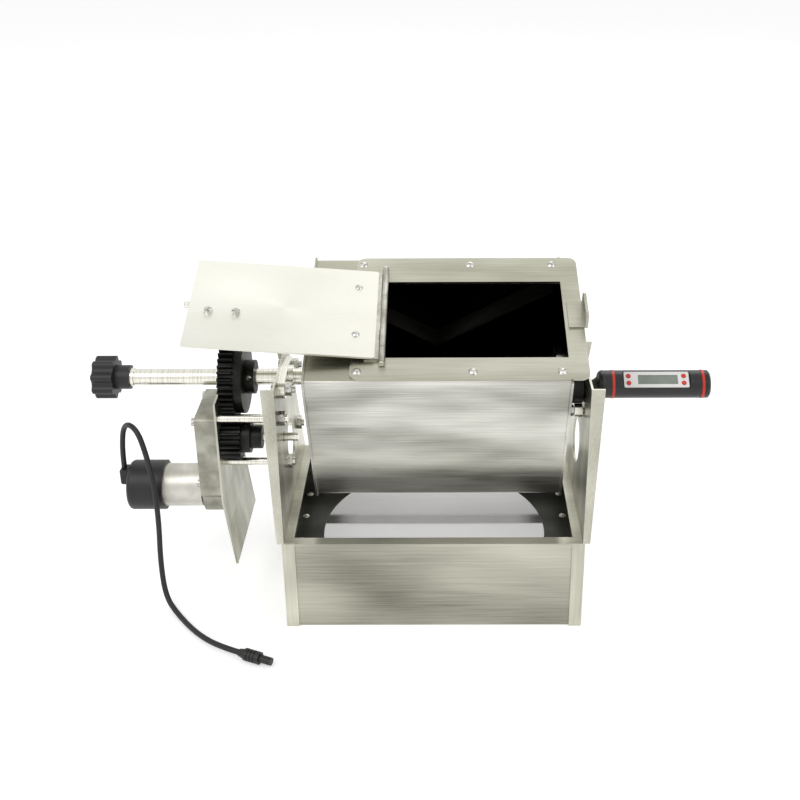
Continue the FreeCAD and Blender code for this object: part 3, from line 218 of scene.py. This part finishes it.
def drum_stainless():
    """Drum sheet: bright brushed outside, an olive-grey painted shade of the lid's shadow on the mouth's
    top face, and near-black painted shade inside.

    The three tones are told apart by place in the level drum, 60.75 mm from its axis to each face.
    """
    material = brushed_stainless("stainless_drum_brushed", "#f2f1ea", "#7e7d74", "X",
                                 (0.22, 0.38), 75)
    tree = material.node_tree
    surface = tree.nodes["Principled BSDF"]
    place = add(tree, "ShaderNodeTexCoord").outputs["Object"]
    tilt = -DRUM_TILT
    centre = (-DRUM_MIDDLE_X, DRUM_AXIS_Z * math.sin(tilt), -DRUM_AXIS_Z * math.cos(tilt))
    level = add(tree, "ShaderNodeMapping", {"Rotation": (tilt, 0, 0), "Location": centre},
                {"Vector": place})
    size = add(tree, "ShaderNodeVectorMath", {"operation": "ABSOLUTE"},
               {"Vector": level.outputs["Vector"]})
    across = add(tree, "ShaderNodeSeparateXYZ", links={"Vector": size.outputs["Vector"]})
    wall = add(tree, "ShaderNodeMath", {"operation": "MAXIMUM"})
    tree.links.new(across.outputs["Y"], wall.inputs[0])
    tree.links.new(across.outputs["Z"], wall.inputs[1])
    within = add(tree, "ShaderNodeMath", {"operation": "LESS_THAN"})
    tree.links.new(wall.outputs["Value"], within.inputs[0])
    within.inputs[1].default_value = DRUM_INSIDE
    ends = add(tree, "ShaderNodeMath", {"operation": "LESS_THAN"})
    tree.links.new(across.outputs["X"], ends.inputs[0])
    ends.inputs[1].default_value = DRUM_INSIDE_END
    # Inside the drum's walls and ends: the mask for the near-black painted shade.
    inner_shade = add(tree, "ShaderNodeMath", {"operation": "MULTIPLY"})
    tree.links.new(within.outputs["Value"], inner_shade.inputs[0])
    tree.links.new(ends.outputs["Value"], inner_shade.inputs[1])
    signed = add(tree, "ShaderNodeSeparateXYZ", links={"Vector": level.outputs["Vector"]})
    # Top face of the drum: the mask for the painted shade of the lid's shadow.
    lid_shadow_top = add(tree, "ShaderNodeMath", {"operation": "GREATER_THAN"})
    tree.links.new(signed.outputs["Z"], lid_shadow_top.inputs[0])
    lid_shadow_top.inputs[1].default_value = DRUM_TOP
    bright = surface.inputs["Base Color"].links[0].from_socket
    # Both tones are painted shade over the brushed colour: the lid's shadow on top, and the dark inside of
    # the drum.
    for mask, tone in ((lid_shadow_top, "#a6a596"), (inner_shade, "#161614")):
        mix = add(tree, "ShaderNodeMix", {"data_type": "RGBA"})
        tree.links.new(mask.outputs["Value"], mix.inputs["Factor"])
        tree.links.new(bright, mix.inputs[6])
        mix.inputs[7].default_value = shade(tone)
        bright = mix.outputs[2]
    tree.links.new(bright, surface.inputs["Base Color"])
    return material


def screw_steel():
    """Zinc-plated screws and nuts: bright with small dull spots, about 1.5 mm apart."""
    material, tree, surface = new_finish("zinc_plated_screws", Metallic=1.0)
    place = add(tree, "ShaderNodeTexCoord").outputs["Object"]
    spots = add(tree, "ShaderNodeTexNoise", {"Scale": 1000 / 1.5, "Detail": 2.0}, {"Vector": place})
    tree.links.new(ramp(tree, spots.outputs["Fac"], shade("#8d8c84"), shade("#e2e1da")),
                   surface.inputs["Base Color"])
    tree.links.new(span(tree, spots.outputs["Fac"], 0.18, 0.4), surface.inputs["Roughness"])
    return material


def moulded(name, base, worn, rough, grit_mm, depth, **sockets):
    """Moulded or cast surface: a fine grit that breaks up the sheen, and faint tone changes."""
    material, tree, surface = new_finish(name, **sockets)
    place = add(tree, "ShaderNodeTexCoord").outputs["Object"]
    grit = add(tree, "ShaderNodeTexNoise", {"Scale": 1000 / grit_mm, "Detail": 2.0}, {"Vector": place})
    tone = add(tree, "ShaderNodeTexNoise", {"Scale": 1000 / 14, "Detail": 3.0}, {"Vector": place})
    tree.links.new(ramp(tree, tone.outputs["Fac"], shade(base), shade(worn), 0.4, 0.75),
                   surface.inputs["Base Color"])
    tree.links.new(span(tree, tone.outputs["Fac"], *rough), surface.inputs["Roughness"])
    bump = add(tree, "ShaderNodeBump", {"Strength": 0.3, "Distance": depth},
               {"Height": grit.outputs["Fac"]})
    tree.links.new(bump.outputs["Normal"], surface.inputs["Normal"])
    return material


def make_finishes():
    """Every finish in the scene, by the short key that NODE_FINISH uses."""
    steel = brushed_stainless
    return {
        "lid": steel("stainless_lid_brushed", "#e6e5dc", "#d6d5ca", "X", (0.4, 0.52), 120),
        "frame": steel("stainless_frame_brushed", "#c2c1b2", "#8a897a", "X", (0.24, 0.4), 90),
        "drum": drum_stainless(),
        # Vanes inside the drum: a dark grey painted shade for the drum's dark inside.
        "inner_shade": steel("stainless_vane_painted_shade", "#5d5c54", "#3c3b36", "X", (0.35, 0.5), 60),
        "base": steel("stainless_base_brushed", "#c6c5b7", "#6f6e63", "X", (0.24, 0.38), 110),
        "pale": steel("stainless_back_panel_brushed", "#efeeee", "#dad9d9", "X", (0.2, 0.3), 110),
        "upright": steel("stainless_upright_brushed", "#d8d7c8", "#9a998b", "Z", (0.26, 0.42), 50),
        "motor_plate": steel("stainless_motor_plate", "#cfcec0", "#77766b", "Z", (0.26, 0.42), 45),
        # Burner plate under the drum: its near-black colour is a painted dark reflection.
        "burner_plate": steel("burner_plate_painted_dark_reflection", "#4a4a45", "#232321", "X", (0.35, 0.55), 60),
        "hinge": steel("hinge_steel_satin", "#cfcdc2", "#908e83", "Y", (0.28, 0.42), 12),
        "can": steel("motor_can_satin", "#cfcdc4", "#a8a69c", "Y", (0.34, 0.46), 30),
        "turned": turned_steel("bright_turned_bar"),
        "screws": screw_steel(),
        "gear": moulded("blackened_gear_steel", "#171717", "#33332f", (0.32, 0.5), 0.6, 0.00004,
                        Metallic=0.8),
        "zinc": moulded("gearbox_zinc_casting", "#8d8c80", "#b9b8ac", (0.4, 0.55), 0.9, 0.00006,
                        Metallic=0.9),
        "black": moulded("black_nylon_moulded", "#0e0e0e", "#1d1d1c", (0.38, 0.55), 0.5, 0.00005),
        "jacket": moulded("black_lead_jacket", "#0c0c0c", "#191918", (0.42, 0.58), 0.8, 0.00003),
        "handle": moulded("black_abs_handle", "#0d0d0e", "#1b1b1c", (0.26, 0.4), 0.7, 0.00002),
        "red": moulded("red_abs_trim", "#d02a18", "#e2412a", (0.28, 0.4), 0.6, 0.00002),
        "panel": moulded("white_abs_panel", "#e9e8e6", "#f4f3f1", (0.26, 0.36), 0.8, 0.00001),
        "display": moulded("liquid_crystal_grey", "#7c877e", "#8d978d", (0.12, 0.2), 3.0, 0.00001),
    }


NODE_FINISH = {
    "lid": "lid_plate",
    "frame": "mouth_frame latch_keeper",
    "drum": "drum_wrap drum_end_left drum_end_right",
    "inner_shade": "vanes_front vanes_back",
    "base": "front_panel base_rim plate_ledges",
    "pale": "back_panel",
    "upright": "upright_left upright_right probe_guide",
    "motor_plate": "motor_plate",
    "burner_plate": "burner_plate",
    "hinge": "lid_leaf hinge_leaf_drum latch_base",
    "can": "motor_can",
    "turned": "shaft_bearing standoff_rods drum_shaft driver_shaft roller_front roller_back "
              "hinge_pin sampler_ferrule sampler_scoop latch_bolt thermometer_probe hub_flange",
    "screws": "plate_screws bearing_bolts standoff_nuts gearbox_screws roller_bolts frame_screws "
              "back_screws lid_screws latch_screws",
    "gear": "driven_gear driver_gear drum_hub",
    "zinc": "gearbox",
    "black": "motor_cap sampler_knob dc_connector",
    "jacket": "cord_grommet cord",
    "handle": "thermometer_handle",
    "red": "thermometer_rings button_1 button_2 button_3 button_4",
    "panel": "thermometer_panel",
    "display": "thermometer_display",
}


def finish_nodes(finishes):
    """Each solid gets its finish in every material slot it has."""
    for key, names in NODE_FINISH.items():
        for name in names.split():
            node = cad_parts[name]
            if not node.material_slots:
                node.data.materials.append(finishes[key])
            for place in node.material_slots:
                place.material = finishes[key]


# Studio

def lay_floor():
    """A plain white table that keeps the object's shadow."""
    material, tree, surface = new_finish("studio_floor_white", Roughness=0.9)
    surface.inputs["Base Color"].default_value = shade("#f6f6f6")
    rays = add(tree, "ShaderNodeLightPath")
    glow = add(tree, "ShaderNodeEmission", {"Color": (1, 1, 1, 1), "Strength": FLOOR_GLOW})
    both = add(tree, "ShaderNodeAddShader")
    tree.links.new(surface.outputs["BSDF"], both.inputs[0])
    tree.links.new(glow.outputs["Emission"], both.inputs[1])
    seen = add(tree, "ShaderNodeMath", {"operation": "MAXIMUM"})
    tree.links.new(rays.outputs["Is Camera Ray"], seen.inputs[0])
    tree.links.new(rays.outputs["Is Glossy Ray"], seen.inputs[1])
    pick = add(tree, "ShaderNodeMixShader", links={"Fac": seen.outputs["Value"]})
    tree.links.new(surface.outputs["BSDF"], pick.inputs[1])
    tree.links.new(both.outputs["Shader"], pick.inputs[2])
    tree.links.new(pick.outputs["Shader"], tree.nodes["Material Output"].inputs["Surface"])
    shape = bmesh.new()
    bmesh.ops.create_grid(shape, x_segments=1, y_segments=1, size=6)
    bmesh.ops.translate(shape, verts=shape.verts, vec=(0, 0, cad_low.z - 0.0002))
    mesh = bpy.data.meshes.new("studio_floor")
    shape.to_mesh(mesh)
    shape.free()
    mesh.materials.append(material)
    floor = bpy.data.objects.new("studio_floor", mesh)
    bpy.context.scene.collection.objects.link(floor)


def light_studio():
    """Even white surroundings and three large soft lamps."""
    world = bpy.data.worlds.new("studio_world")
    world.use_nodes = True
    bpy.context.scene.world = world
    tree = world.node_tree
    sky = tree.nodes["Background"]
    sky.inputs["Color"].default_value = (1, 1, 1, 1)
    rays = add(tree, "ShaderNodeLightPath")
    seen = add(tree, "ShaderNodeMath", {"operation": "MAXIMUM"})
    tree.links.new(rays.outputs["Is Camera Ray"], seen.inputs[0])
    tree.links.new(rays.outputs["Is Glossy Ray"], seen.inputs[1])
    strength = add(tree, "ShaderNodeMapRange", {"To Min": WORLD_LIGHT, "To Max": 1.0},
                   {"Value": seen.outputs["Value"]})
    tree.links.new(strength.outputs["Result"], sky.inputs["Strength"])
    for name, place, size, power in STUDIO_LAMPS:
        lamp = bpy.data.lights.new(name, "AREA")
        lamp.size = size
        lamp.energy = power
        holder = bpy.data.objects.new(name, lamp)
        aim = Vector((0, 0, 0.1)) - Vector(place)
        holder.matrix_world = Matrix.Translation(place) @ aim.to_track_quat("-Z", "Y").to_matrix().to_4x4()
        bpy.context.scene.collection.objects.link(holder)


def main():
    bpy.context.scene.view_settings.view_transform = "Standard"
    finishes = make_finishes()
    finish_nodes(finishes)
    place_camera()
    lay_lead(finishes["jacket"])
    lay_floor()
    light_studio()


main()
